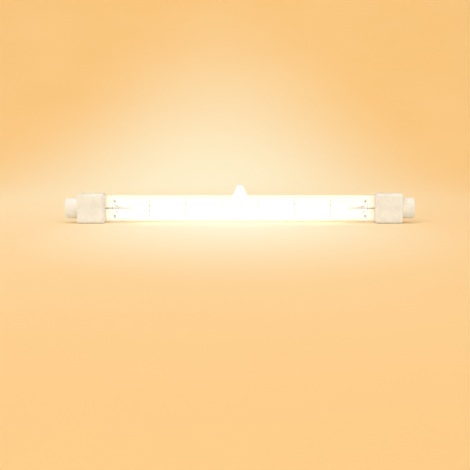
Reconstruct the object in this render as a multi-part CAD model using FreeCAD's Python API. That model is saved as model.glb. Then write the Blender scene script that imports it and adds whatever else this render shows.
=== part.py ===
"""A clear double-ended halogen bulb: a quartz tube pinched flat at both ends, with a ceramic cap on each pinch.

The bulb lies along X and stands on the flat undersides of its two caps, with the exhaust tip upwards.
Every piece is made about the tube's own axis and is raised to its standing height when it is written.
Each end is made once, on the +X side, and turned half round the vertical for the other end.
"""
import FreeCAD, Part
import math
import os

from FreeCAD import Vector

# Whole bulb, in millimetres
overall_length = 117.6          # from rim to rim of the two cap barrels

# Quartz tube and its pinched ends
tube_diameter = 8.5
tube_wall = 1.0
shoulder_length = 4.0           # from the round tube down to the flat pinch
pinch_length = 9.0
pinch_thickness = 2.6
pinch_panel_depth = 0.25        # each broad face is pressed in between its two edge beads
pinch_panel_width = 5.6
pinch_panel_margin = 1.2        # full thickness kept between the shoulder and the panel
cavity_setback = 1.3            # where the bore starts to close, before the outside does

# Exhaust tip, where the tube was filled and sealed off
tip_height = 3.4
tip_foot_degrees = 58.0         # from the top of the tube round to where the tip's flank runs out
tip_point_radius = 1.5          # rounding of the point, where the exhaust tube was melted off
tip_hollow_diameter = 0.9
tip_hollow_depth = 1.5          # how far the blind hollow reaches past the tube's wall

# Filament: one long fine coil, given here by the sleeve that its turns fill
filament_coil_diameter = 1.6
filament_wire_diameter = 0.18
filament_setback = 4.0          # from the end of the round tube to the end of the coil

# Spiral wire supports
support_count = 6
support_wire_diameter = 0.28
support_wire_sides = 6          # the round wire is drawn with this many flats
support_grip_degrees = 260.0    # inner turn, round the coil
support_ring_degrees = 210.0    # outer turn, against the bore
support_coil_clearance = 0.03
support_bore_clearance = 0.03

# Leads and sealing foils
lead_diameter = 0.6
spud_length = 4.0               # thick inner end of the lead, with the coil screwed on
spud_taper_length = 1.2
spud_coil_clearance = 0.02
foil_length = 6.5
foil_width = 2.5
foil_thickness = 0.1
foil_edge_thickness = 0.03
foil_flat_width = 1.4           # full thickness, between the thinned edges
weld_overlap = 1.5
weld_flat_height = 0.2          # from the lead's axis to the flat where the foil is welded

# Ceramic caps
cap_height = 10.0
cap_thickness = 7.5
cap_block_length = 9.0
cap_edge_radius = 1.0           # along the block
cap_mouth_chamfer = 0.6         # round the inner face, towards the tube
cap_end_chamfer = 0.2           # round the outer face, at the barrel
in_plane = 0.02                 # an edge this near to a face of the block counts as one of its edges
slot_depth = 8.6
barrel_diameter = 7.0
barrel_length = 4.3
barrel_rim_chamfer = 0.3
recess_diameter = 4.0
recess_depth = 1.7
lead_hole_clearance = 0.15      # all round the lead in the cap's web

# Cement in the slot
cement_thickness = 0.15         # between the pinch and each cheek of the cap
cement_floor = 0.6              # between the pinch's end and the bottom of the slot
cement_setback = 1.4            # from the cap's inner face
cement_edge_setback = 0.5       # from the open top and bottom of the slot

# Contacts
contact_head_diameter = 3.2
contact_head_thickness = 0.5
contact_head_clearance = 0.1
contact_seat_depth = 0.6        # counterbore for the head, below the floor of the recess
contact_shank_diameter = 1.4
contact_shank_length = 1.3
contact_shank_clearance = 0.05
lead_socket_clearance = 0.02
lead_socket_floor = 0.4         # metal between the lead's end and the underside of the head

# Worked out from the sizes above
axis_height = cap_height / 2
tube_radius = tube_diameter / 2
bore_radius = tube_radius - tube_wall
half_length = overall_length / 2
block_end = half_length - barrel_length
cap_face = block_end - cap_block_length
slot_bottom = cap_face + slot_depth
pinch_end = slot_bottom - cement_floor
pinch_start = pinch_end - pinch_length
shoulder_start = pinch_start - shoulder_length
pinch_half = pinch_thickness / 2
recess_bottom = half_length - recess_depth
filament_half = shoulder_start - filament_setback
coil_radius = filament_coil_diameter / 2
coil_bore_radius = coil_radius - filament_wire_diameter
lead_radius = lead_diameter / 2
foil_start = (pinch_start + pinch_end - foil_length) / 2
foil_end = foil_start + foil_length
slot_width = pinch_thickness + 2 * cement_thickness
seat_bottom = recess_bottom - contact_seat_depth
shank_end = seat_bottom - contact_shank_length
lead_socket_end = seat_bottom - lead_socket_floor

X_AXIS = Vector(1, 0, 0)
Y_AXIS = Vector(0, 1, 0)
Z_AXIS = Vector(0, 0, 1)
ORIGIN = Vector(0, 0, 0)


def rod(radius, start, end):
    """A round bar on the bulb's axis."""
    return Part.makeCylinder(radius, end - start, Vector(start, 0, 0), X_AXIS)


def bar(start, end, thickness, height):
    """A square-edged bar centred on the bulb's axis: thickness along Y, height along Z."""
    corner = Vector(start, -thickness / 2, -height / 2)
    return Part.makeBox(end - start, thickness, height, corner)


def lines(points):
    """Straight edges from point to point."""
    return [Part.makeLine(a, b) for a, b in zip(points, points[1:])]


def turned(edges):
    """A solid of revolution about the bulb's axis, from edges that close on that axis."""
    return Part.Face(Part.Wire(edges)).revolve(ORIGIN, X_AXIS, 360)


def on_circle(centre, radius, degrees):
    """A point of a circle in the XY plane, counted from +X towards +Y."""
    angle = math.radians(degrees)
    return centre + Vector(radius * math.cos(angle), radius * math.sin(angle), 0)


def s_curve(start, end):
    """Two equal arcs, level at both ends, that lead from start down to end in the XY plane."""
    run = end.x - start.x
    drop = start.y - end.y
    radius = (run * run + drop * drop) / (4 * drop)
    swept = 2 * math.degrees(math.atan(drop / run))
    upper = start - Vector(0, radius, 0)
    lower = end + Vector(0, radius, 0)
    middle = (start + end) / 2
    return [
        Part.Arc(start, on_circle(upper, radius, 90 - swept / 2), middle).toShape(),
        Part.Arc(middle, on_circle(lower, radius, -90 - swept / 2), end).toShape(),
    ]


def pressed_form(first, edges, last, height):
    """Both sides of an outline in the XY plane, from X = 0 to its end, given a height along Z."""
    middle = Vector(last.x, 0, 0)
    closing = lines([last, middle, ORIGIN]) if last.y else lines([last, ORIGIN])
    outline = lines([ORIGIN, first]) + edges + closing
    quarter = Part.Face(Part.Wire(outline)).extrude(Vector(0, 0, height))
    quarter.translate(Vector(0, 0, -height / 2))
    half = quarter.fuse(quarter.mirror(ORIGIN, Y_AXIS))
    return half.fuse(half.mirror(ORIGIN, X_AXIS)).removeSplitter()


def tube_blank():
    """The outside of the quartz: a round bar that two flat jaws have pressed thin at both ends."""
    middle_top = Vector(0, tube_radius, 0)
    shoulder_top = Vector(shoulder_start, tube_radius, 0)
    shoulder_foot = Vector(pinch_start, pinch_half, 0)
    pinch_corner = Vector(pinch_end, pinch_half, 0)
    edges = lines([middle_top, shoulder_top]) + s_curve(shoulder_top, shoulder_foot)
    edges = edges + lines([shoulder_foot, pinch_corner])
    pressed = pressed_form(middle_top, edges, pinch_corner, tube_diameter)
    return pressed.common(rod(tube_radius, -pinch_end, pinch_end))


def pinch_panels():
    """The shallow panels that the jaws leave in the broad faces of one pinch."""
    panel_start = pinch_start + pinch_panel_margin
    outer = bar(panel_start, pinch_end, pinch_thickness, pinch_panel_width)
    return outer.cut(bar(panel_start, pinch_end, pinch_thickness - 2 * pinch_panel_depth, pinch_panel_width))


def cavity():
    """The gas space: the bore, closed at each end where the softened walls met."""
    closing = shoulder_start - cavity_setback
    centre = Vector(closing, 0, 0)
    middle_top = Vector(0, bore_radius, 0)
    top = Vector(closing, bore_radius, 0)
    end = Vector(closing + bore_radius, 0, 0)
    edges = lines([middle_top, top])
    edges.append(Part.Arc(top, on_circle(centre, bore_radius, 45), end).toShape())
    pressed = pressed_form(middle_top, edges, end, tube_diameter)
    return pressed.common(rod(bore_radius, -end.x, end.x))


def exhaust_tip():
    """The drawn-off cone on top of the tube, with a rounded point that its flank runs into."""
    foot = on_circle(ORIGIN, tube_radius, 90 - tip_foot_degrees)
    top = Vector(0, tube_radius + tip_height, 0)
    centre = top - Vector(0, tip_point_radius, 0)
    reach = foot - centre
    towards_foot = math.degrees(math.atan2(reach.y, reach.x))
    neck_angle = towards_foot + math.degrees(math.acos(tip_point_radius / reach.Length))
    neck = on_circle(centre, tip_point_radius, neck_angle)
    edges = lines([foot, neck])
    edges.append(Part.Arc(neck, on_circle(centre, tip_point_radius, (neck_angle + 90) / 2), top).toShape())
    edges = edges + lines([top, Vector(0, bore_radius, 0), Vector(bore_radius / 2, bore_radius, 0), foot])
    tip = Part.Face(Part.Wire(edges)).revolve(ORIGIN, Y_AXIS, 360)
    tip.rotate(ORIGIN, X_AXIS, 90)
    return tip


def tip_hollow():
    """What is left of the exhaust tube's bore, blind inside the tip."""
    foot = Vector(0, 0, bore_radius - tube_wall / 2)
    depth = tube_wall + tube_wall / 2 + tip_hollow_depth
    return Part.makeCylinder(tip_hollow_diameter / 2, depth, foot, Z_AXIS)


def pressed_quartz():
    """The outside of the quartz with the panels pressed in both pinches."""
    panels = pinch_panels()
    return tube_blank().cut([panels, other_end(panels)])


def quartz_envelope(sealed_in):
    """Tube, shoulders, pinches and tip in one, closed tightly round the metal of both seals."""
    outside = pressed_quartz().fuse(exhaust_tip())
    return outside.cut([cavity(), tip_hollow()] + sealed_in)


def filament():
    """The long coil, as the sleeve that its fine turns fill."""
    sleeve = rod(coil_radius, -filament_half, filament_half)
    return sleeve.cut(rod(coil_bore_radius, -filament_half, filament_half))


def wire_section(centre, along):
    """A hexagon square to the wire, with its corners on the round of the wire."""
    outwards = Vector(centre).normalize()
    across = Vector(along).normalize().cross(outwards)
    radius = support_wire_diameter / 2
    corners = []
    for side in range(support_wire_sides + 1):
        angle = 2 * math.pi * (side + 0.5) / support_wire_sides
        corners.append(centre + outwards * (radius * math.cos(angle)) + across * (radius * math.sin(angle)))
    return Part.Wire(lines(corners))


def filament_support(place):
    """One wire: a turn that grips the coil, swinging out to a ring that bears on the bore."""
    wire_radius = support_wire_diameter / 2
    grip_radius = coil_radius + support_coil_clearance + wire_radius
    ring_radius = bore_radius - support_bore_clearance - wire_radius
    swing_radius = (grip_radius + ring_radius) / 2
    swing_centre = Vector((grip_radius - ring_radius) / 2, 0, 0)
    grip_start = on_circle(ORIGIN, grip_radius, -support_grip_degrees)
    grip_end = on_circle(ORIGIN, grip_radius, 0)
    ring_start = on_circle(ORIGIN, ring_radius, 180)
    ring_middle = on_circle(ORIGIN, ring_radius, 180 + support_ring_degrees / 2)
    ring_end = on_circle(ORIGIN, ring_radius, 180 + support_ring_degrees)
    path = Part.Wire([
        Part.Arc(grip_start, on_circle(ORIGIN, grip_radius, -support_grip_degrees / 2), grip_end).toShape(),
        Part.Arc(grip_end, on_circle(swing_centre, swing_radius, 90), ring_start).toShape(),
        Part.Arc(ring_start, ring_middle, ring_end).toShape(),
    ])
    wire = path.makePipeShell([wire_section(grip_start, Z_AXIS.cross(grip_start))], True, True)
    wire.rotate(ORIGIN, Y_AXIS, 90)
    wire.translate(Vector(place, 0, 0))
    return wire


def weld_side(start, end):
    """What the weld flattens from the underside of a lead between two stations."""
    return Part.makeBox(end - start, lead_diameter, lead_diameter,
                        Vector(start, -weld_flat_height - lead_diameter, -lead_radius))


def inner_lead():
    """Lead inside the tube: a thick spud in the coil's end, drawn down to the wire in the seal."""
    spud_radius = coil_bore_radius - spud_coil_clearance
    start = filament_half - spud_length
    taper_start = filament_half + spud_taper_length / 2
    taper_end = taper_start + spud_taper_length
    end = foil_start + weld_overlap
    lead = turned(lines([
        Vector(start, 0, 0),
        Vector(start, spud_radius, 0),
        Vector(taper_start, spud_radius, 0),
        Vector(taper_end, lead_radius, 0),
        Vector(end, lead_radius, 0),
        Vector(end, 0, 0),
        Vector(start, 0, 0),
    ]))
    return lead.cut(weld_side(foil_start, end))


def outer_lead():
    """Lead from the foil out of the pinch, through the cap's web and into the contact's shank."""
    start = foil_end - weld_overlap
    return rod(lead_radius, start, lead_socket_end).cut(weld_side(start, foil_end))


def foil():
    """The thin strip that carries the current through the seal, thinned towards its long edges."""
    middle = -weld_flat_height - foil_thickness / 2
    face = foil_thickness / 2
    edge = foil_edge_thickness / 2
    flat = foil_flat_width / 2
    width = foil_width / 2
    upper = [(edge, -width), (face, -flat), (face, flat), (edge, width)]
    lower = [(-y, z) for y, z in reversed(upper)]
    corners = [Vector(foil_start, middle + y, z) for y, z in upper + lower + upper[:1]]
    return Part.Face(Part.Wire(lines(corners))).extrude(Vector(foil_length, 0, 0))


def contact():
    """The button below the floor of the recess, with a shank that is pressed on the lead."""
    head_radius = contact_head_diameter / 2
    shank_radius = contact_shank_diameter / 2
    socket_radius = lead_radius + lead_socket_clearance
    crown = seat_bottom + contact_head_thickness
    return turned(lines([
        Vector(crown, 0, 0),
        Vector(lead_socket_end, 0, 0),
        Vector(lead_socket_end, socket_radius, 0),
        Vector(shank_end, socket_radius, 0),
        Vector(shank_end, shank_radius, 0),
        Vector(seat_bottom, shank_radius, 0),
        Vector(seat_bottom, head_radius, 0),
        Vector(crown, head_radius, 0),
        Vector(crown, 0, 0),
    ]))


def edges_at(shape, station):
    """The edges of a shape that lie in the plane X = station."""
    return [edge for edge in shape.Edges
            if abs(edge.BoundBox.XMin - station) < in_plane and abs(edge.BoundBox.XMax - station) < in_plane]


def ceramic_block():
    """The cap's block before it is slotted: rounded along its length, bevelled round both faces."""
    block = bar(cap_face, block_end, cap_thickness, cap_height)
    along = [edge for edge in block.Edges if edge.BoundBox.XLength > cap_block_length / 2]
    block = block.makeFillet(cap_edge_radius, along)
    block = block.makeChamfer(cap_mouth_chamfer, edges_at(block, cap_face))
    return block.makeChamfer(cap_end_chamfer, edges_at(block, block_end))


def ceramic_cap():
    """Pressed ceramic: a forked block that straddles the pinch, and a barrel with a recess."""
    barrel_radius = barrel_diameter / 2
    barrel = turned(lines([
        Vector(slot_bottom, 0, 0),
        Vector(slot_bottom, recess_diameter / 2, 0),
        Vector(block_end, recess_diameter / 2, 0),
        Vector(block_end, barrel_radius, 0),
        Vector(half_length - barrel_rim_chamfer, barrel_radius, 0),
        Vector(half_length, barrel_radius - barrel_rim_chamfer, 0),
        Vector(half_length, 0, 0),
        Vector(slot_bottom, 0, 0),
    ]))
    slot = bar(cap_face, slot_bottom, slot_width, cap_height)
    recess = rod(recess_diameter / 2, recess_bottom, half_length)
    seat = rod(contact_head_diameter / 2 + contact_head_clearance, seat_bottom, recess_bottom)
    shank_hole = rod(contact_shank_diameter / 2 + contact_shank_clearance, shank_end, seat_bottom)
    lead_hole = rod(lead_radius + lead_hole_clearance, slot_bottom, shank_end)
    return ceramic_block().fuse(barrel).cut([slot, recess, seat, shank_hole, lead_hole])


def cement():
    """Grey cement that fills the slot round the end of the pinch and of the lead."""
    fill = bar(cap_face + cement_setback, slot_bottom, slot_width, cap_height - 2 * cement_edge_setback)
    return fill.cut([pressed_quartz(), rod(lead_radius, pinch_end, slot_bottom)])


def other_end(shape):
    """The same piece at the other end of the bulb."""
    return shape.rotated(ORIGIN, Z_AXIS, 180)


def write(name, shape):
    """Raise a piece to its standing height and write it."""
    piece = shape.Solids[0] if len(shape.Solids) == 1 else shape
    piece.translated(Vector(0, 0, axis_height)).exportStep("parts/" + name + ".step")


def write_pair(name, right):
    """Write a piece of the right-hand end, and its like at the left."""
    write(name + "_right", right)
    write(name + "_left", other_end(right))


os.makedirs("parts", exist_ok=True)
leads = [inner_lead(), foil(), outer_lead()]
envelope = quartz_envelope(leads + [other_end(piece) for piece in leads])
write("quartz_envelope", envelope)
write("filament", filament())
support_spacing = 2 * filament_half / support_count
for number in range(support_count):
    place = (number - (support_count - 1) / 2) * support_spacing
    write("filament_support_" + str(number + 1), filament_support(place))
write_pair("inner_lead", leads[0])
write_pair("foil", leads[1])
write_pair("outer_lead", leads[2])
write_pair("ceramic_cap", ceramic_cap())
write_pair("cement", cement())
write_pair("contact", contact())
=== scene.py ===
import math

import bmesh
import bpy
from mathutils import Matrix, Vector, noise


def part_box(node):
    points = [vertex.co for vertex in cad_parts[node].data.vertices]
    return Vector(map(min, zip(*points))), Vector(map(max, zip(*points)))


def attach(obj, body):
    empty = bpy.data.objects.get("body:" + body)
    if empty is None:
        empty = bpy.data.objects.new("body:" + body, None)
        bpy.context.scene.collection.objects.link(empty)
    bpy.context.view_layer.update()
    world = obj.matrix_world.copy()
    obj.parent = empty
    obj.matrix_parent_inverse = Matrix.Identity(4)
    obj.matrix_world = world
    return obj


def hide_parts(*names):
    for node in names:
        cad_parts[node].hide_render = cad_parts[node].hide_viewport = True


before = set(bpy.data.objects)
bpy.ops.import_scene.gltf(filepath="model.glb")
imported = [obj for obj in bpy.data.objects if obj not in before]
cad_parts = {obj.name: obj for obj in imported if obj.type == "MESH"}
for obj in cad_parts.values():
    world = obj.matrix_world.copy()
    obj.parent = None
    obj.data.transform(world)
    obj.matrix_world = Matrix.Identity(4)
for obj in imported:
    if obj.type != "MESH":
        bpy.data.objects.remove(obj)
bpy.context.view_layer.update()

# Filament. One long fine coil of drawn tungsten wire, about 260 turns, that
# the current heats white. Its last turns are screwed on the cooler leads,
# where the glow falls off to orange and then to bare grey metal.

MM = 0.001
FILAMENT_TURNS = 260
FILAMENT_TURN_POINTS = 16           # along one turn of the mesh
FILAMENT_WIRE = 0.18 * MM
FILAMENT_WIRE_SIDES = 6
FILAMENT_OUTSIDE = 1.6 * MM
FILAMENT_STRENGTH = 4.5
COOLS_BEFORE_END = 2.5 * MM         # of coil, and then of lead, over which the glow falls off
COOLS_PAST_END = 3.5 * MM
DIE_MARK_STEP = 0.2 * MM

filament_low, filament_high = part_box("filament")
AXIS_HEIGHT = (filament_low.z + filament_high.z) / 2


def linear(code):
    """The scene-linear RGBA of an sRGB hex colour."""
    channels = [int(code[place:place + 2], 16) / 255 for place in (1, 3, 5)]
    curved = [c / 12.92 if c <= 0.04045 else ((c + 0.055) / 1.055) ** 2.4 for c in channels]
    return (*curved, 1.0)


def add(tree, kind, inputs=(), stops=(), **settings):
    """Add a node with its settings, a ramp's (place, hex colour) stops, and its inputs.

    An input is named or numbered, and takes a value, a socket, or a node for its first output.
    """
    node = tree.nodes.new(kind)
    for setting, value in settings.items():
        setattr(node, setting, value)
    for number, (position, code) in enumerate(stops):
        steps = node.color_ramp.elements
        step = steps[number] if number < len(steps) else steps.new(position)
        step.position, step.color = position, linear(code)
    for socket, value in dict(inputs).items():
        if isinstance(value, bpy.types.Node):
            value = value.outputs[0]
        if isinstance(value, bpy.types.NodeSocket):
            tree.links.new(value, node.inputs[socket])
        else:
            node.inputs[socket].default_value = value
    return node


def new_material(name):
    """An empty material, its tree, and the Object coordinates that its patterns lie on."""
    made = bpy.data.materials.new(name)
    made.use_nodes = True
    made.node_tree.nodes.clear()
    return made, made.node_tree, add(made.node_tree, "ShaderNodeTexCoord").outputs["Object"]


def distance_from_middle(tree, place):
    """How far a point lies from the middle of the bulb, along its axis."""
    along = add(tree, "ShaderNodeSeparateXYZ", {0: place})
    return add(tree, "ShaderNodeMath", {0: along}, operation="ABSOLUTE")


def new_wire_tree(name, labels):
    """A geometry tree with labelled inputs, those of its wire among them, and their sockets."""
    tree = bpy.data.node_groups.new(name, "GeometryNodeTree")
    wire_labels = {"Wire Radius": "Float", "Wire Sides": "Int", "Material": "Material"}
    for label, kind in (labels | wire_labels).items():
        tree.interface.new_socket(label, in_out="INPUT", socket_type="NodeSocket" + kind)
    tree.interface.new_socket("Geometry", in_out="OUTPUT", socket_type="NodeSocketGeometry")
    return tree, add(tree, "NodeGroupInput").outputs


def draw_wire(tree, path, sizes):
    """End a geometry tree with the round wire that follows a path."""
    section = add(tree, "GeometryNodeCurvePrimitiveCircle", {
        "Resolution": sizes["Wire Sides"], "Radius": sizes["Wire Radius"]})
    drawn = add(tree, "GeometryNodeCurveToMesh", {
        "Curve": path, "Profile Curve": section, "Fill Caps": True})
    whole = add(tree, "GeometryNodeRealizeInstances", {"Geometry": drawn})
    dressed = add(tree, "GeometryNodeSetMaterial", {
        "Geometry": whole, "Material": sizes["Material"]})
    add(tree, "NodeGroupOutput", {"Geometry": dressed})


def new_piece(name, mesh):
    """An object at the origin that shows a mesh with smooth shading."""
    mesh.shade_smooth()
    piece = bpy.data.objects.new(name, mesh)
    bpy.context.scene.collection.objects.link(piece)
    return piece


def grown(name, tree, inputs, start=None):
    """A new piece that a node tree makes from its named inputs, as a plain mesh."""
    piece = new_piece(name, start or bpy.data.meshes.new(name))
    modifier = piece.modifiers.new(name, "NODES")
    modifier.node_group = tree
    for socket in tree.interface.items_tree:
        if socket.in_out == "INPUT" and socket.name in inputs:
            modifier[socket.identifier] = inputs[socket.name]
    bpy.context.view_layer.update()
    shown = piece.evaluated_get(bpy.context.evaluated_depsgraph_get())
    mesh = bpy.data.meshes.new_from_object(shown)
    piece.modifiers.clear()
    piece.data = mesh
    mesh.shade_smooth()
    return piece


def take_place(piece, node):
    """Make a piece ride with the bulb in place of a CAD node, which it hides."""
    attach(piece, "root")
    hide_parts(node)


# Bare tungsten is a dull grey metal, which its own light hides once it glows.
hot_tungsten, tree, place = new_material("incandescent tungsten wire")
reach = distance_from_middle(tree, place)
heat = add(tree, "ShaderNodeMapRange", {
    "Value": reach, "From Min": filament_high.x + COOLS_PAST_END,
    "From Max": filament_high.x - COOLS_BEFORE_END})
glow = add(tree, "ShaderNodeValToRGB", {"Fac": heat}, stops=[
    (0.0, "#140400"), (0.25, "#C24A12"), (0.5, "#FFB45A"), (1.0, "#FFF1D8")])
# The light falls off faster than the heat, with its square.
squared = add(tree, "ShaderNodeMath", {0: heat, 1: 2.0}, operation="POWER")
strength = add(tree, "ShaderNodeMath", {0: squared, 1: FILAMENT_STRENGTH}, operation="MULTIPLY")
# Die marks are about 0.05 mm apart; they are drawn as flecks 0.2 mm apart to show.
marks = add(tree, "ShaderNodeTexNoise", {
    "Vector": place, "Scale": 1 / DIE_MARK_STEP, "Detail": 3.0})
metal = add(tree, "ShaderNodeValToRGB", {"Fac": marks}, stops=[(0.3, "#A8A49E"), (0.7, "#C6C2BB")])
sheen = add(tree, "ShaderNodeMapRange", {"Value": marks, "To Min": 0.3, "To Max": 0.5})
surface = add(tree, "ShaderNodeBsdfPrincipled", {
    "Base Color": metal, "Metallic": 1.0, "Roughness": sheen,
    "Emission Color": glow, "Emission Strength": strength})
add(tree, "ShaderNodeOutputMaterial", {"Surface": surface})

winding, sizes = new_wire_tree("wound filament", {
    "Turns": "Float", "Turn Points": "Int", "Length": "Float", "Coil Radius": "Float",
    "Axis Height": "Float"})
spiral = add(winding, "GeometryNodeCurveSpiral", {
    "Resolution": sizes["Turn Points"], "Rotations": sizes["Turns"],
    "Start Radius": sizes["Coil Radius"], "End Radius": sizes["Coil Radius"],
    "Height": sizes["Length"]})
half_back = add(winding, "ShaderNodeMath", {0: sizes["Length"], 1: -0.5}, operation="MULTIPLY")
start = add(winding, "ShaderNodeCombineXYZ", {"X": half_back, "Z": sizes["Axis Height"]})
laid = add(winding, "GeometryNodeTransform", {
    "Geometry": spiral, "Translation": start, "Rotation": (0, math.pi / 2, 0)})
draw_wire(winding, laid, sizes)

filament = grown("filament_winding", winding, {
    "Turns": float(FILAMENT_TURNS),
    "Turn Points": FILAMENT_TURN_POINTS,
    "Length": filament_high.x - filament_low.x - FILAMENT_WIRE,
    "Coil Radius": (FILAMENT_OUTSIDE - FILAMENT_WIRE) / 2,
    "Axis Height": AXIS_HEIGHT,
    "Wire Radius": FILAMENT_WIRE / 2,
    "Wire Sides": FILAMENT_WIRE_SIDES,
    "Material": hot_tungsten,
})
take_place(filament, "filament")

# Filament supports. Six spirals of drawn tungsten wire that keep the hot coil
# from sagging on the quartz. Each is one wire: most of a turn grips the coil,
# half a turn leads outwards, and a wide turn springs lightly against the bore.

BORE_RADIUS = 3.25 * MM
SUPPORT_COUNT = 6
SUPPORT_WIRE = 0.28 * MM
SUPPORT_WIRE_SIDES = 12
SUPPORT_CLEARANCE = 0.03 * MM       # from the coil, and from the bore
SUPPORT_GRIP_TURN = 260             # degrees round the coil
SUPPORT_RING_TURN = 210             # degrees along the bore
SUPPORT_STEP = 5                    # degrees between the points of an arc

grip_radius = FILAMENT_OUTSIDE / 2 + SUPPORT_CLEARANCE + SUPPORT_WIRE / 2
ring_radius = BORE_RADIUS - SUPPORT_CLEARANCE - SUPPORT_WIRE / 2

drawn_tungsten, tree, place = new_material("drawn tungsten wire")
# Die marks, drawn as far apart as the coil's, give the wire a broken satin grey.
marks = add(tree, "ShaderNodeTexNoise", {
    "Vector": place, "Scale": 1 / DIE_MARK_STEP, "Detail": 3.0, "Roughness": 0.6})
metal = add(tree, "ShaderNodeValToRGB", {"Fac": marks}, stops=[(0.3, "#8E8A85"), (0.7, "#B9B5AE")])
sheen = add(tree, "ShaderNodeMapRange", {"Value": marks, "To Min": 0.3, "To Max": 0.55})
surface = add(tree, "ShaderNodeBsdfPrincipled", {
    "Base Color": metal, "Metallic": 1.0, "Roughness": sheen})
add(tree, "ShaderNodeOutputMaterial", {"Surface": surface})

bending, sizes = new_wire_tree("wire along a path", {"Geometry": "Geometry"})
path = add(bending, "GeometryNodeMeshToCurve", {"Mesh": sizes["Geometry"]})
draw_wire(bending, path, sizes)


def arc(centre, radius, start, end):
    """Points of an arc round the bulb's axis; angle 0 is straight down and 90 is towards +Y."""
    steps = round(abs(end - start) / SUPPORT_STEP)
    angles = [math.radians(start + (end - start) * step / steps) for step in range(steps + 1)]
    return [(centre + radius * math.cos(angle), radius * math.sin(angle)) for angle in angles]


swing_centre = (grip_radius - ring_radius) / 2
swing_radius = (grip_radius + ring_radius) / 2
support_path = arc(0, grip_radius, -SUPPORT_GRIP_TURN, 0)
support_path += arc(swing_centre, swing_radius, 0, 180)[1:]
support_path += arc(0, ring_radius, 180, 180 + SUPPORT_RING_TURN)[1:]

for number in range(1, SUPPORT_COUNT + 1):
    node = "filament_support_%d" % number
    low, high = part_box(node)
    station = (low.x + high.x) / 2
    points = [(station, side, AXIS_HEIGHT - drop) for drop, side in support_path]
    line = bpy.data.meshes.new("support_path_%d" % number)
    line.from_pydata(points, [(i, i + 1) for i in range(len(points) - 1)], [])
    support = grown("support_wire_%d" % number, bending, {
        "Wire Radius": SUPPORT_WIRE / 2,
        "Wire Sides": SUPPORT_WIRE_SIDES,
        "Material": drawn_tungsten,
    }, line)
    take_place(support, node)

# Inner leads. Tungsten rods whose thick ends are screwed in the coil and take
# some of its heat, ground down to a thin wire that runs through the seal and
# is welded on the foil.

for side in ("left", "right"):
    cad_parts["inner_lead_" + side].material_slots[0].material = hot_tungsten

# Sealing foils and outer leads. Molybdenum: a rolled strip, thinned to a
# feather edge so that the quartz can wet it without cracking, and a drawn
# wire on to the contact.

ROLLING_MARK_LENGTH = 1.8 * MM
ROLLING_MARK_STEP = 0.15 * MM

molybdenum, tree, place = new_material("rolled molybdenum")
# Rolling marks, twelve times as long as they are far apart, give streaks along the strip.
stretched = add(tree, "ShaderNodeMapping", {
    "Vector": place,
    "Scale": (1 / ROLLING_MARK_LENGTH, 1 / ROLLING_MARK_STEP, 1 / ROLLING_MARK_STEP)})
marks = add(tree, "ShaderNodeTexNoise", {"Vector": stretched, "Scale": 1.0, "Detail": 4.0})
metal = add(tree, "ShaderNodeValToRGB", {"Fac": marks}, stops=[(0.3, "#8F8B86"), (0.7, "#C2BEB7")])
sheen = add(tree, "ShaderNodeMapRange", {"Value": marks, "To Min": 0.25, "To Max": 0.45})
surface = add(tree, "ShaderNodeBsdfPrincipled", {
    "Base Color": metal, "Metallic": 1.0, "Roughness": sheen})
add(tree, "ShaderNodeOutputMaterial", {"Surface": surface})

for side in ("left", "right"):
    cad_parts["foil_" + side].material_slots[0].material = molybdenum
    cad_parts["outer_lead_" + side].material_slots[0].material = molybdenum

# Quartz envelope. Fused quartz tube, worked in the flame: two jaws pressed each
# softened end flat round its foil, and the filling tube was melted off to a
# point on top.

# Its forms
TUBE_WALL = 1.0 * MM
PINCH_END = 53.5 * MM               # from the middle of the bulb
PINCH_LENGTH = 9.0 * MM
PINCH_THICKNESS = 2.6 * MM
SHOULDER_LENGTH = 4.0 * MM
BORE_SETBACK = 1.3 * MM             # where the bore starts to close, in a quarter circle
PANEL_MARGIN = 1.2 * MM             # between the shoulder and the panel
PANEL_WIDTH = 5.6 * MM
PANEL_DEPTH = 0.25 * MM
EDGE_ROUNDING = 0.35 * MM           # where the pressed faces run into the round of the tube
TIP_HEIGHT = 3.4 * MM
TIP_POINT_RADIUS = 1.1 * MM
TIP_FOOT_ANGLE = 58                 # degrees from the top of the tube round to the tip's foot
TIP_FOOT_ROUNDING = 0.8 * MM
TIP_FALL = 4 / TIP_POINT_RADIUS     # how fast the tip's surface drops away under the tube's
HOLLOW_RADIUS = 0.45 * MM
HOLLOW_DEPTH = 1.5 * MM             # past the tube's wall
HOLLOW_FOOT = -1.0 * MM             # height at which its flank would run out, inside the bore
HOLLOW_STEEPNESS = 4

# Steps of its mesh, and where they are short
TUBE_STEP = 2.5 * MM                # from ring to ring
PINCH_STEP = 1.0 * MM
SHOULDER_STEP = 0.15 * MM
PANEL_EDGE_STEP = 0.12 * MM
TIP_STEP = 0.12 * MM
HOLLOW_STEP = 0.08 * MM
CLOSING_STEP = 0.12 * MM
CLOSED_STEP = 0.04 * MM
TIP_SPAN = 4.0 * MM                 # along the axis, from the tip's middle to where close rings end
HOLLOW_SPAN = 1.2 * MM
FORM_MARGIN = 0.5 * MM              # by which close rings reach past a form's edge
CLOSING_MARGIN = 0.3 * MM
NEARLY_CLOSED = 0.8                 # shares of the length in which the bore closes
CLOSED = 0.998
TURN_STEP = 3.0                     # degrees between the points of a ring
TIP_TURN_STEP = 1.5
HOLLOW_TURN_STEP = 1.0
TIP_HALF_TURN = 63                  # degrees from the top in which the points stand closer
HOLLOW_HALF_TURN = 21
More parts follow.
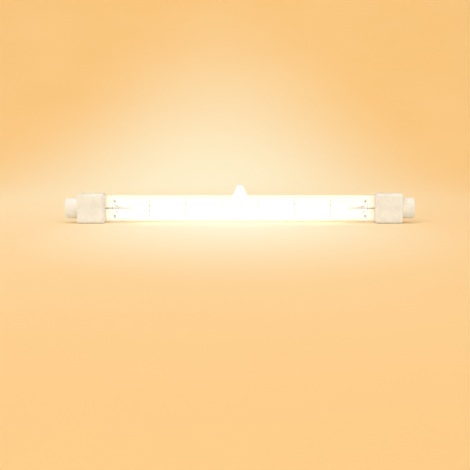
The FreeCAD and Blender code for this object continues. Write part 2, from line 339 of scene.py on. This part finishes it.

# Its painted glow and the marks of its making
PAINTED_GLOW_STRENGTH = 0.15
PAINTED_TIP_GLOW = 2.8                      # times as strong in the tip
PAINTED_TIP_GLOW_START = 3.4 * MM           # height above the axis from which the glow grows
PAINTED_TIP_GLOW_FULL = 5.1 * MM            # and where it is full
PAINTED_GLOW_END = 42.0 * MM                # from the middle to where the tube's glow starts to fade
PAINTED_GLOW_FADE = 12.0 * MM               # and over which it does
DRAW_LINE_LENGTH = 30 * MM
DRAW_LINE_STEP = 1.2 * MM
DIMPLE_STEP = 0.7 * MM

tube_radius = BORE_RADIUS + TUBE_WALL
pinch_start = PINCH_END - PINCH_LENGTH
shoulder_start = pinch_start - SHOULDER_LENGTH
bore_closing = shoulder_start - BORE_SETBACK
panel_start = pinch_start + PANEL_MARGIN

quartz_with_painted_glow, tree, place = new_material("fire polished fused quartz")
# Water clear and bright. The coil's glare in the walls is painted as a faint glow of their own,
# which runs on through the solid ends into the caps, and which is painted stronger in the solid
# tip.
reach = distance_from_middle(tree, place)
# Painted glow: full over the middle of the tube, fading out towards the ends.
painted_glow_share = add(tree, "ShaderNodeMapRange", {
    "Value": reach, "From Min": PAINTED_GLOW_END + PAINTED_GLOW_FADE, "From Max": PAINTED_GLOW_END,
}, interpolation_type="SMOOTHSTEP")
# Painted glow, stronger towards the top of the tip.
height = add(tree, "ShaderNodeSeparateXYZ", {0: place}).outputs["Z"]
painted_tip_glow = add(tree, "ShaderNodeMapRange", {
    "Value": height,
    "From Min": AXIS_HEIGHT + PAINTED_TIP_GLOW_START, "From Max": AXIS_HEIGHT + PAINTED_TIP_GLOW_FULL,
    "To Min": PAINTED_GLOW_STRENGTH, "To Max": PAINTED_GLOW_STRENGTH * PAINTED_TIP_GLOW})
strength = add(tree, "ShaderNodeMath", {0: painted_glow_share, 1: painted_tip_glow}, operation="MULTIPLY")
# Draw lines are too fine to see one by one; they are drawn 1.2 mm apart, as slow waves along
# the tube.
stretched = add(tree, "ShaderNodeMapping", {
    "Vector": place, "Scale": (1 / DRAW_LINE_LENGTH, 1 / DRAW_LINE_STEP, 1 / DRAW_LINE_STEP)})
draw_lines = add(tree, "ShaderNodeTexNoise", {"Vector": stretched, "Scale": 1.0, "Detail": 1.0})
# The jaws leave a chilled skin, dimpled about every 0.7 mm and a little less bright.
pressed = add(tree, "ShaderNodeMapRange", {
    "Value": reach, "From Min": shoulder_start, "From Max": panel_start})
dimples = add(tree, "ShaderNodeTexNoise", {
    "Vector": place, "Scale": 1 / DIMPLE_STEP, "Detail": 2.0})
skin_marks = add(tree, "ShaderNodeMath", {0: dimples, 1: pressed}, operation="MULTIPLY")
relief = add(tree, "ShaderNodeMath", {0: draw_lines, 1: skin_marks}, operation="ADD")
bump = add(tree, "ShaderNodeBump", {"Height": relief, "Distance": 0.01 * MM, "Strength": 0.6})
sheen = add(tree, "ShaderNodeMapRange", {"Value": skin_marks, "To Min": 0.015, "To Max": 0.09})
surface = add(tree, "ShaderNodeBsdfPrincipled", {
    "Base Color": linear("#FFFFFF"), "Transmission Weight": 1.0, "IOR": 1.458,
    "Roughness": sheen, "Normal": bump,
    "Emission Color": linear("#FFFDFA"), "Emission Strength": strength})
add(tree, "ShaderNodeOutputMaterial", {"Surface": surface})


def smooth_step(value, low, high):
    """From 0 at low to 1 at high, level at both."""
    share = min(max((value - low) / (high - low), 0.0), 1.0)
    return share * share * (3 - 2 * share)


def soft_min(a, b, rounding):
    """The lesser of two lengths, with the corner between them rounded."""
    if rounding <= 0:
        return min(a, b)
    share = max(rounding - abs(a - b), 0.0) / rounding
    return min(a, b) - share * share * rounding / 4


def s_curve(x, start, end, high, low):
    """Two equal arcs, level at both ends, from high down to low."""
    run, drop = end - start, high - low
    radius = (run * run + drop * drop) / (4 * drop)
    if x <= start:
        return high
    if x >= end:
        return low
    if x < start + run / 2:
        return high - radius + math.sqrt(radius ** 2 - (x - start) ** 2)
    return low + radius - math.sqrt(radius ** 2 - (end - x) ** 2)


def outer_half_thickness(x, z):
    """Half the quartz's thickness along Y, with the panel pressed in the pinch."""
    x = abs(x)
    edge = PANEL_WIDTH / 2
    panel = smooth_step(x, panel_start - PANEL_DEPTH, panel_start + PANEL_DEPTH)
    panel *= 1 - smooth_step(abs(z), edge - PANEL_DEPTH, edge + PANEL_DEPTH)
    pressed = s_curve(x, shoulder_start, pinch_start, tube_radius, PINCH_THICKNESS / 2)
    return pressed - panel * PANEL_DEPTH


def inner_half_thickness(x, z):
    """Half the bore's width along Y, which is the same at every height z."""
    past = max(abs(x) - bore_closing, 0.0)
    return math.sqrt(max(BORE_RADIUS ** 2 - past ** 2, 0.0))


def on_circle(radius, angle):
    """The place on a circle round zero at an angle in radians."""
    return radius * math.cos(angle), radius * math.sin(angle)


# The tip's flank is the straight line from its foot that touches the circle of its point.
tip_centre = tube_radius + TIP_HEIGHT - TIP_POINT_RADIUS
tip_foot = Vector(on_circle(tube_radius, math.radians(90 - TIP_FOOT_ANGLE)))
tip_reach = tip_foot - Vector((0, tip_centre))
tip_angle = math.atan2(tip_reach.y, tip_reach.x) + math.acos(TIP_POINT_RADIUS / tip_reach.length)
tip_neck = Vector((0, tip_centre)) + Vector(on_circle(TIP_POINT_RADIUS, tip_angle))


def tip_surface(x, y):
    """Height of the melted tip above the axis: a rounded point on a straight flank.

    Past its foot it drops away, so that the round of the tube takes over.
    """
    away = math.hypot(x, y)
    if away < tip_neck.x:
        return tip_centre + math.sqrt(TIP_POINT_RADIUS ** 2 - away ** 2)
    share = (away - tip_neck.x) / (tip_foot.x - tip_neck.x)
    past = max(away - tip_foot.x, 0.0)
    return tip_neck.y + share * (tip_foot.y - tip_neck.y) - TIP_FALL * past * past


def hollow_surface(x, y):
    """Height above the axis of the blind hollow that the filling tube's bore left in the tip."""
    away = math.hypot(x, y) / HOLLOW_RADIUS
    rise = tube_radius + HOLLOW_DEPTH - HOLLOW_FOOT
    return HOLLOW_FOOT + rise * math.exp(-away ** HOLLOW_STEEPNESS)


def stations(spans):
    """Places along the axis, on both sides of the middle.

    Each span is its end's distance from the middle and the step between the places in it.
    """
    places = [0.0]
    for end, step in spans:
        start = places[-1]
        count = max(1, round((end - start) / step))
        places += [start + (end - start) * (i + 1) / count for i in range(count)]
    return [-place for place in places[:0:-1]] + places


def turns(fine_half, fine_step):
    """Angles round the axis in radians from +Y, closer together within fine_half of the top."""
    fine = round(2 * fine_half / fine_step)
    coarse = round((360 - 2 * fine_half) / TURN_STEP)
    top = [90 - fine_half + fine_step * i for i in range(fine)]
    rest = [90 + fine_half + (360 - 2 * fine_half) * i / coarse for i in range(coarse)]
    return [math.radians(angle) for angle in top + rest]


def skin(mesh, places, angles, radius, half_thickness, rise, inwards):
    """One closed surface of the quartz: rings along the axis, with flat ends.

    The rings are pressed to the half thickness, and raised to the surface that rises at the tip.
    """
    rings = []
    for x in places:
        ring = []
        for angle in angles:
            y, z = on_circle(radius, angle)
            pressed = half_thickness(x, z)
            corner = min(EDGE_ROUNDING, radius - pressed)
            y = math.copysign(max(soft_min(abs(y), pressed, corner), 0.0), y)
            if z > 0:
                z = -soft_min(-z, -rise(x, y), TIP_FOOT_ROUNDING)
            ring.append(mesh.verts.new((x, y, z + AXIS_HEIGHT)))
        rings.append(ring)
    count = len(angles)
    for back, front in zip(rings, rings[1:]):
        for i in range(count):
            corners = [back[i], back[(i + 1) % count], front[(i + 1) % count], front[i]]
            mesh.faces.new(corners[::-1] if inwards else corners)
    for ring, outwards in ((rings[0], inwards), (rings[-1], not inwards)):
        centre = mesh.verts.new(sum((corner.co for corner in ring), Vector()) / count)
        for i in range(count):
            corners = [centre, ring[i], ring[(i + 1) % count]]
            mesh.faces.new(corners if outwards else corners[::-1])


# Rings stand close together along the tip, the shoulders, the edges of the panels, and where the
# bore closes.
outer_places = stations([
    (TIP_SPAN, TIP_STEP),
    (shoulder_start - FORM_MARGIN, TUBE_STEP),
    (pinch_start + FORM_MARGIN, SHOULDER_STEP),
    (panel_start + FORM_MARGIN, PANEL_EDGE_STEP),
    (PINCH_END, PINCH_STEP)])
inner_places = stations([
    (HOLLOW_SPAN, HOLLOW_STEP),
    (bore_closing - CLOSING_MARGIN, TUBE_STEP),
    (bore_closing + NEARLY_CLOSED * BORE_RADIUS, CLOSING_STEP),
    (bore_closing + CLOSED * BORE_RADIUS, CLOSED_STEP)])
shell = bmesh.new()
skin(shell, outer_places, turns(TIP_HALF_TURN, TIP_TURN_STEP), tube_radius,
     outer_half_thickness, tip_surface, inwards=False)
skin(shell, inner_places, turns(HOLLOW_HALF_TURN, HOLLOW_TURN_STEP), BORE_RADIUS,
     inner_half_thickness, hollow_surface, inwards=True)
quartz_mesh = bpy.data.meshes.new("quartz_glass")
shell.to_mesh(quartz_mesh)
shell.free()
quartz_mesh.materials.append(quartz_with_painted_glow)
take_place(new_piece("quartz_glass", quartz_mesh), "quartz_envelope")

# Cement. A refractory paste of zircon grit and water glass, pressed in the slot
# round the pinch and baked hard: matt, grey and gritty, and left uneven where
# the slot is open.

CEMENT_GRIT = 0.35 * MM
CEMENT_GRIT_HEIGHT = 0.05 * MM
CEMENT_HEAVE = 0.12 * MM            # half the height of the paste's slow heaves
CEMENT_HEAVE_STEP = 1.5 * MM        # from one heave to the next
CEMENT_CUTS = 23                    # along each side of an open face
CEMENT_SHARP_ANGLE = 60             # degrees between faces from which their edge stays sharp
SAME_PLACE = 0.001 * MM

lamp_cement, tree, place = new_material("baked refractory cement")
# Grit, with finer grit between, breaks up both the colour and the surface.
grit = add(tree, "ShaderNodeTexNoise", {
    "Vector": place, "Scale": 1 / CEMENT_GRIT, "Detail": 6.0, "Roughness": 0.7})
stone = add(tree, "ShaderNodeValToRGB", {"Fac": grit}, stops=[(0.3, "#B5AFA2"), (0.7, "#DAD4C6")])
bump = add(tree, "ShaderNodeBump", {"Height": grit, "Distance": 0.08 * MM, "Strength": 0.8})
surface = add(tree, "ShaderNodeBsdfPrincipled", {
    "Base Color": stone, "Roughness": 0.95, "Normal": bump})
add(tree, "ShaderNodeOutputMaterial", {"Surface": surface})

for side in ("left", "right"):
    node = "cement_" + side
    low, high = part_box(node)
    paste = bmesh.new()
    paste.from_mesh(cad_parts[node].data)
    bmesh.ops.remove_doubles(paste, verts=paste.verts, dist=SAME_PLACE)
    for level, outwards in ((low.z, -1), (high.z, 1)):
        halves = [face for face in paste.faces
                  if all(abs(corner.co.z - level) < SAME_PLACE for corner in face.verts)]
        joined = bmesh.ops.dissolve_faces(paste, faces=halves)["region"]
        rim = [edge for face in joined for edge in face.edges]
        bmesh.ops.subdivide_edges(paste, edges=rim, cuts=CEMENT_CUTS, use_grid_fill=True)
        for corner in paste.verts:
            if abs(corner.co.z - level) < SAME_PLACE:
                heave = CEMENT_HEAVE * (1 + noise.noise(corner.co / CEMENT_HEAVE_STEP))
                rough = CEMENT_GRIT_HEIGHT * noise.noise(corner.co / CEMENT_GRIT)
                corner.co.z += outwards * (heave + rough)
    paste_mesh = bpy.data.meshes.new("cement_paste_" + side)
    paste.to_mesh(paste_mesh)
    paste.free()
    paste_mesh.materials.append(lamp_cement)
    filling = new_piece(paste_mesh.name, paste_mesh)
    paste_mesh.set_sharp_from_angle(angle=math.radians(CEMENT_SHARP_ANGLE))
    take_place(filling, node)

# Ceramic caps. Steatite, dry pressed and fired without a glaze: warm white,
# matt, with a fine grain. A forked block straddles the pinch and carries a
# round barrel.

PRESS_GRAIN = 0.4 * MM
FIRING_SHADE_STEP = 4.0 * MM

steatite, tree, place = new_material("unglazed pressed steatite")
# Press grain is about 0.1 mm; it is drawn at 0.4 mm to show, with a slow firing shade over it.
grain = add(tree, "ShaderNodeTexNoise", {
    "Vector": place, "Scale": 1 / PRESS_GRAIN, "Detail": 5.0, "Roughness": 0.65})
firing = add(tree, "ShaderNodeTexNoise", {
    "Vector": place, "Scale": 1 / FIRING_SHADE_STEP, "Detail": 2.0})
mixed = add(tree, "ShaderNodeMath", {0: grain, 1: firing}, operation="ADD")
half = add(tree, "ShaderNodeMath", {0: mixed, 1: 0.5}, operation="MULTIPLY")
ceramic = add(tree, "ShaderNodeValToRGB", {"Fac": half}, stops=[
    (0.35, "#E6E0D2"), (0.5, "#F1ECE1"), (0.65, "#F8F5ED")])
sheen = add(tree, "ShaderNodeMapRange", {"Value": grain, "To Min": 0.5, "To Max": 0.75})
bump = add(tree, "ShaderNodeBump", {"Height": grain, "Distance": 0.02 * MM, "Strength": 0.6})
surface = add(tree, "ShaderNodeBsdfPrincipled", {
    "Base Color": ceramic, "Roughness": sheen, "Normal": bump})
add(tree, "ShaderNodeOutputMaterial", {"Surface": surface})

for side in ("left", "right"):
    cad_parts["ceramic_cap_" + side].material_slots[0].material = steatite

# Contacts. Nickel plated buttons, turned from bar and pressed on the outer
# leads at the bottom of the caps' recesses.

WEAR_PATCH = 0.6 * MM
TOOL_MARK_STEP = 0.3 * MM
WAVE_RADIANS = 20                   # that a wave turns through in one unit of its scale

nickel, tree, place = new_material("satin nickel plate")
# Rubbing has worn the plate unevenly, in small patches.
wear = add(tree, "ShaderNodeTexNoise", {"Vector": place, "Scale": 1 / WEAR_PATCH, "Detail": 4.0})
metal = add(tree, "ShaderNodeValToRGB", {"Fac": wear}, stops=[(0.3, "#D2CEC4"), (0.7, "#E2DFD7")])
sheen = add(tree, "ShaderNodeMapRange", {"Value": wear, "To Min": 0.24, "To Max": 0.34})
# Tool marks lie 0.05 mm apart; they are drawn as rings 0.3 mm apart round the axis to show.
centred = add(tree, "ShaderNodeMapping", {"Vector": place, "Location": (0, 0, -AXIS_HEIGHT)})
rings = add(tree, "ShaderNodeTexWave", {
    "Vector": centred, "Scale": 2 * math.pi / (WAVE_RADIANS * TOOL_MARK_STEP),
}, wave_type="RINGS", rings_direction="X")
bump = add(tree, "ShaderNodeBump", {
    "Height": rings.outputs["Fac"], "Distance": 0.01 * MM, "Strength": 0.5})
surface = add(tree, "ShaderNodeBsdfPrincipled", {
    "Base Color": metal, "Metallic": 1.0, "Roughness": sheen, "Normal": bump})
add(tree, "ShaderNodeOutputMaterial", {"Surface": surface})

for side in ("left", "right"):
    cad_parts["contact_" + side].material_slots[0].material = nickel

# Studio. A round cove of pale warm paper, a large soft lamp above, one at each
# side of the front and one on the back of the cove, and the camera square to
# the tube, a little above it.

COVE_FLOOR = 0.3                    # radius of the flat floor
COVE_FLOOR_RINGS = (0.1, 0.4, 0.7)  # shares of that radius
COVE_CURVE = 0.9
COVE_TOP = 1.0
COVE_SEGMENTS = 96
COVE_STEPS = 24                     # from the floor up to the wall
PAPER_SHADE_STEP = 0.15
# A painted glow on the paper: where its middle lies, across and behind, its half width and half
# depth, and its strength.
PAINTED_HALO = (-0.004, 0.0, 0.1, 0.17, 1.0)
PAINTED_POOL = (-0.025, 0.35, 0.23, 0.65, 0.95)

paper, tree, place = new_material("pale warm backdrop paper")
# Paper has no visible grain at this distance, only a slow change of shade. The bulb's light is
# painted on it, as a paler halo close round the bulb and a wide pale pool behind.
tooth = add(tree, "ShaderNodeTexNoise", {
    "Vector": place, "Scale": 1 / PAPER_SHADE_STEP, "Detail": 2.0})
shade = add(tree, "ShaderNodeValToRGB", {"Fac": tooth}, stops=[(0.3, "#FACB85"), (0.7, "#FBCF8C")])
painted_glows = []
for across, behind, half_width, half_depth, strength in (PAINTED_HALO, PAINTED_POOL):
    laid = add(tree, "ShaderNodeMapping", {
        "Vector": place, "Scale": (1 / half_width, 1 / half_depth, 0.0),
        "Location": (-across / half_width, -behind / half_depth, 0.0)})
    reach = add(tree, "ShaderNodeVectorMath", {0: laid}, operation="LENGTH")
    painted_glows.append(add(tree, "ShaderNodeMapRange", {
        "Value": reach.outputs["Value"], "From Min": 1.0, "From Max": 0.0, "To Max": strength,
    }, interpolation_type="SMOOTHSTEP"))
painted_light = add(tree, "ShaderNodeMath", {0: painted_glows[0], 1: painted_glows[1]}, operation="MAXIMUM")
# The paper is painted paler where the bulb's light falls near it.
paper_with_painted_light = add(tree, "ShaderNodeMix", {
    "Factor": painted_light, "A": shade, "B": linear("#FEFAE1"),
}, data_type="RGBA")
# The light that it throws back on the bulb is nearly white, so that the bulb keeps its own colours.
rays = add(tree, "ShaderNodeLightPath").outputs
thrown = add(tree, "ShaderNodeMix", {
    "Factor": rays["Is Diffuse Ray"], "A": paper_with_painted_light.outputs["Result"], "B": linear("#FBF3E4"),
}, data_type="RGBA")
surface = add(tree, "ShaderNodeBsdfPrincipled", {
    "Base Color": thrown.outputs["Result"], "Roughness": 0.9})
add(tree, "ShaderNodeOutputMaterial", {"Surface": surface})

outline = [(COVE_FLOOR * share, 0.0) for share in COVE_FLOOR_RINGS]
for step in range(COVE_STEPS + 1):
    angle = math.pi / 2 * step / COVE_STEPS
    outline.append((COVE_FLOOR + COVE_CURVE * math.sin(angle), COVE_CURVE * (1 - math.cos(angle))))
outline.append((COVE_FLOOR + COVE_CURVE, COVE_TOP))
corners = [(0.0, 0.0, 0.0)]
for radius, height in outline:
    for segment in range(COVE_SEGMENTS):
        angle = 2 * math.pi * segment / COVE_SEGMENTS
        corners.append((radius * math.cos(angle), radius * math.sin(angle), height))
faces = []
for segment in range(COVE_SEGMENTS):
    beside = (segment + 1) % COVE_SEGMENTS
    faces.append((0, 1 + segment, 1 + beside))
    for first in range(1, len(corners) - COVE_SEGMENTS, COVE_SEGMENTS):
        outer = first + COVE_SEGMENTS
        faces.append((first + segment, outer + segment, outer + beside, first + beside))
cove_mesh = bpy.data.meshes.new("studio_cove")
cove_mesh.from_pydata(corners, [], faces)
cove_mesh.materials.append(paper)
new_piece("studio_cove", cove_mesh)

BULB = (0.0, 0.0, AXIS_HEIGHT)
for name, place, target, size, watts, code in (
        ("overhead_softbox", (0.0, -0.2, 0.95), BULB, 0.8, 2.2, "#FFFFFF"),
        ("left_softbox", (-0.5, -0.65, 0.65), BULB, 0.5, 2.4, "#FFFFFF"),
        ("right_softbox", (0.6, -0.6, 0.6), BULB, 0.4, 1.0, "#FFFFFF"),
        ("backdrop_softbox", (0.0, 0.3, 0.9), (0.0, 1.1, 0.2), 0.5, 2.1, "#FFF8E4")):
    lamp = bpy.data.lights.new(name, "AREA")
    lamp.size = size
    lamp.energy = watts
    lamp.color = linear(code)[:3]
    softbox = bpy.data.objects.new(name, lamp)
    bpy.context.scene.collection.objects.link(softbox)
    softbox.visible_camera = False
    aim = (Vector(target) - Vector(place)).to_track_quat("-Z", "Y")
    softbox.matrix_world = Matrix.Translation(place) @ aim.to_matrix().to_4x4()

world = bpy.data.worlds.new("studio_air")
world.use_nodes = True
tree = world.node_tree
tree.nodes.clear()
rays = add(tree, "ShaderNodeLightPath").outputs
seen = rays["Is Camera Ray"]
for ray in ("Is Glossy Ray", "Is Transmission Ray"):
    seen = add(tree, "ShaderNodeMath", {0: seen, 1: rays[ray]}, operation="MAXIMUM")
lighting = add(tree, "ShaderNodeBackground", {"Color": linear("#FFFFFF"), "Strength": 0.4})
backdrop = add(tree, "ShaderNodeBackground", {"Color": linear("#FACB85"), "Strength": 1.0})
either = add(tree, "ShaderNodeMixShader", {0: seen, 1: lighting, 2: backdrop})
add(tree, "ShaderNodeOutputWorld", {"Surface": either})
bpy.context.scene.world = world

CAMERA_DISTANCE = 0.2655
CAMERA_RISE = math.radians(4.0)     # above the tube
FRAME_PIXELS = 470
MIDDLE_PIXEL = (240.0, 208.0)       # of the tube, from the frame's top left corner

eye = bpy.data.cameras.new("camera")
eye.lens = 60.0
eye.sensor_width = 36.0
eye.shift_x = (FRAME_PIXELS / 2 - MIDDLE_PIXEL[0]) / FRAME_PIXELS
eye.shift_y = (MIDDLE_PIXEL[1] - FRAME_PIXELS / 2) / FRAME_PIXELS
eye.clip_start = 0.01
camera = bpy.data.objects.new("camera", eye)
bpy.context.scene.collection.objects.link(camera)
camera.location = (0, -CAMERA_DISTANCE * math.cos(CAMERA_RISE),
                   AXIS_HEIGHT + CAMERA_DISTANCE * math.sin(CAMERA_RISE))
camera.rotation_euler = (math.pi / 2 - CAMERA_RISE, 0, 0)
bpy.context.scene.camera = camera

bpy.context.scene.view_settings.view_transform = "Standard"
